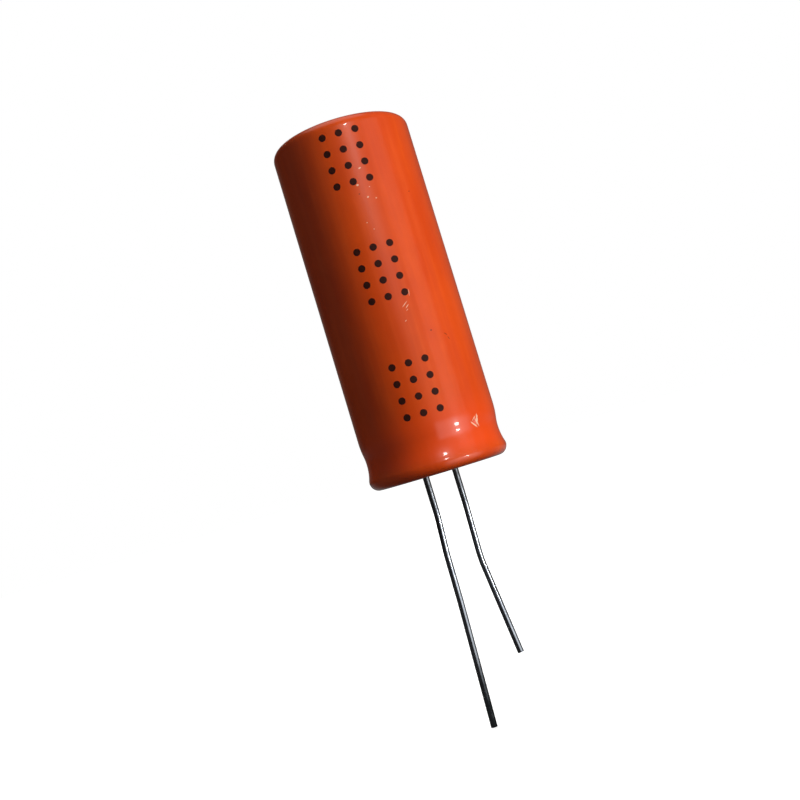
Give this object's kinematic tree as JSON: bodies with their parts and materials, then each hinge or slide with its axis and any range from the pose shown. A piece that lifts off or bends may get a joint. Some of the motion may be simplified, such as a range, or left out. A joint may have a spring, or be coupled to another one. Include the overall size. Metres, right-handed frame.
{
  "type": "radial aluminium electrolytic capacitor",
  "caption": "Slim round can in a glossy orange shrink sleeve, rubber end seal, and one long and one short gently bent wire lead.",
  "frame": {"origin": "centre of the seating plane, on the can's axis, where the sleeve's foot meets a circuit board", "axes": "+Z along the can towards its closed end; -Z the way the leads point; +X from the long anode lead to the short cathode lead"},
  "size_m": [0.013, 0.013, 0.0553],
  "materials": {
    "sleeve": "glossy orange shrink film",
    "can": "drawn, satin",
    "seal": "moulded, matt black",
    "lead": "tinned, dull bright",
    "tab": "pressed, plain",
    "anode_foil": "etched and formed, matt grey",
    "cathode_foil": "etched, matt",
    "paper": "kraft paper wet with electrolyte",
    "tape": "amber film"
  },
  "bodies": {
    "root": {"sleeve": "sleeve", "can": "can", "end_seal": "seal", "anode_lead": "lead", "cathode_lead": "lead", "anode_tab": "tab", "cathode_tab": "tab", "anode_foil": "anode_foil", "inner_separator": "paper", "cathode_foil": "cathode_foil", "outer_separator": "paper", "winding_tape": "tape"}
  },
  "joints": []
}
